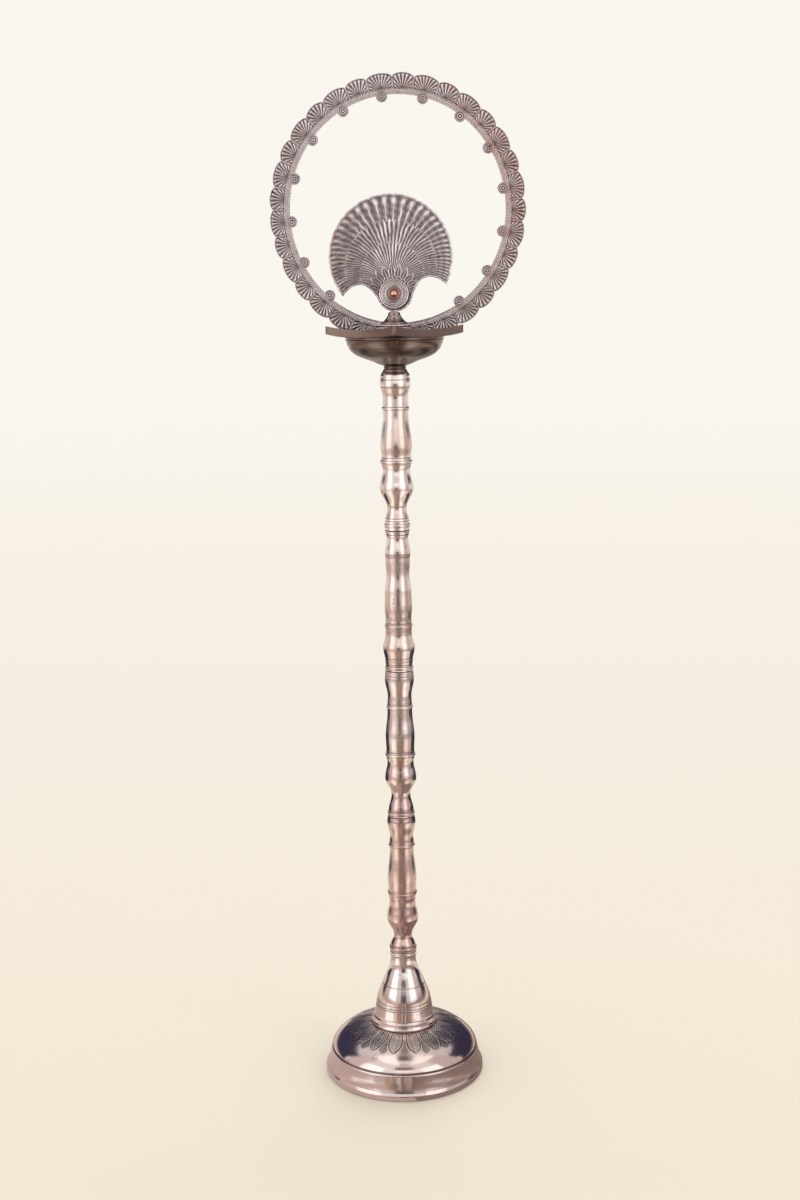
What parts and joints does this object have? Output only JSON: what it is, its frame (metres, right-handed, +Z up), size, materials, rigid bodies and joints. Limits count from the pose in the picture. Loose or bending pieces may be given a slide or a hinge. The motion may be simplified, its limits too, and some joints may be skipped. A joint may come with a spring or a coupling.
{
  "type": "standing oil lamp",
  "caption": "Tall brass oil lamp: domed foot, turned screw-together stem, oil bowl with wick spouts, and a shell-edged ring round a feathered fan finial.",
  "frame": {"origin": "centre of the foot's rim, on the surface the lamp stands on, under the stem's axis", "axes": "+Z up along the stem, front of the fan towards -Y, +X to the right seen from the front"},
  "size_m": [0.2232, 0.1492, 0.9141],
  "materials": {
    "polished_brass": "polished, rose-tinted, fine turning marks",
    "dark_brass": "polished but darkened, brown",
    "cast_brass": "cast relief, brushed high spots, dark recesses",
    "screw_brass": "turned, threaded, dull",
    "copper": "dull copper",
    "plated_steel": "zinc plated, dull"
  },
  "bodies": {
    "base": {"base_foot": "polished_brass", "base_bell": "polished_brass", "base_tie_rod": "plated_steel", "base_tie_washer": "plated_steel", "base_tie_nut": "plated_steel"},
    "stud_1": {"stem_stud_1": "screw_brass"},
    "section_1": {"stem_section_1": "polished_brass"},
    "stud_2": {"stem_stud_2": "screw_brass"},
    "section_2": {"stem_section_2": "polished_brass"},
    "stud_3": {"stem_stud_3": "screw_brass"},
    "section_3": {"stem_section_3": "polished_brass"},
    "stud_4": {"stem_stud_4": "screw_brass"},
    "section_4": {"stem_section_4": "polished_brass"},
    "bowl_screw": {"bowl_stud": "screw_brass"},
    "bowl": {"oil_bowl": "dark_brass", "halo_ring": "cast_brass"},
    "top_screw": {"centre_stud": "screw_brass"},
    "finial": {"finial_pedestal": "polished_brass", "fan_rivet": "screw_brass", "fan_copper_washer": "copper", "fan_back_washer": "screw_brass"},
    "fan": {"fan_plate": "cast_brass"}
  },
  "joints": [
    {"name": "section_1_rise", "type": "slide", "parent": "base", "child": "stud_1", "axis": [0, 0, 1], "range_m": [0, 0.009]},
    {"name": "section_1_unscrew", "type": "hinge", "parent": "stud_1", "child": "section_1", "pos_m": [0, 0, 0.117], "axis": [0, 0, 1], "range_deg": [0, 2160]},
    {"name": "section_2_rise", "type": "slide", "parent": "section_1", "child": "stud_2", "axis": [0, 0, 1], "range_m": [0, 0.009]},
    {"name": "section_2_unscrew", "type": "hinge", "parent": "stud_2", "child": "section_2", "pos_m": [0, 0, 0.25], "axis": [0, 0, 1], "range_deg": [0, 2160]},
    {"name": "section_3_rise", "type": "slide", "parent": "section_2", "child": "stud_3", "axis": [0, 0, 1], "range_m": [0, 0.009]},
    {"name": "section_3_unscrew", "type": "hinge", "parent": "stud_3", "child": "section_3", "pos_m": [0, 0, 0.389], "axis": [0, 0, 1], "range_deg": [0, 2160]},
    {"name": "section_4_rise", "type": "slide", "parent": "section_3", "child": "stud_4", "axis": [0, 0, 1], "range_m": [0, 0.009]},
    {"name": "section_4_unscrew", "type": "hinge", "parent": "stud_4", "child": "section_4", "pos_m": [0, 0, 0.518], "axis": [0, 0, 1], "range_deg": [0, 2160]},
    {"name": "bowl_rise", "type": "slide", "parent": "section_4", "child": "bowl_screw", "axis": [0, 0, 1], "range_m": [0, 0.009]},
    {"name": "bowl_unscrew", "type": "hinge", "parent": "bowl_screw", "child": "bowl", "pos_m": [0, 0, 0.662], "axis": [0, 0, 1], "range_deg": [0, 2160]},
    {"name": "finial_rise", "type": "slide", "parent": "bowl", "child": "top_screw", "axis": [0, 0, 1], "range_m": [0, 0.006]},
    {"name": "finial_unscrew", "type": "hinge", "parent": "top_screw", "child": "finial", "pos_m": [0, 0, 0.701], "axis": [0, 0, 1], "range_deg": [0, 1440]},
    {"name": "fan_tilt", "type": "hinge", "parent": "finial", "child": "fan", "pos_m": [0, 0, 0.72738], "axis": [0, 1, 0], "range_deg": [-2, 10]}
  ],
  "couplings": [
    {"joint": "section_1_unscrew", "follows": "section_1_rise", "rad_per_m": 4188.8},
    {"joint": "section_2_unscrew", "follows": "section_2_rise", "rad_per_m": 4188.8},
    {"joint": "section_3_unscrew", "follows": "section_3_rise", "rad_per_m": 4188.8},
    {"joint": "section_4_unscrew", "follows": "section_4_rise", "rad_per_m": 4188.8},
    {"joint": "bowl_unscrew", "follows": "bowl_rise", "rad_per_m": 4188.8},
    {"joint": "finial_unscrew", "follows": "finial_rise", "rad_per_m": 4188.8}
  ]
}
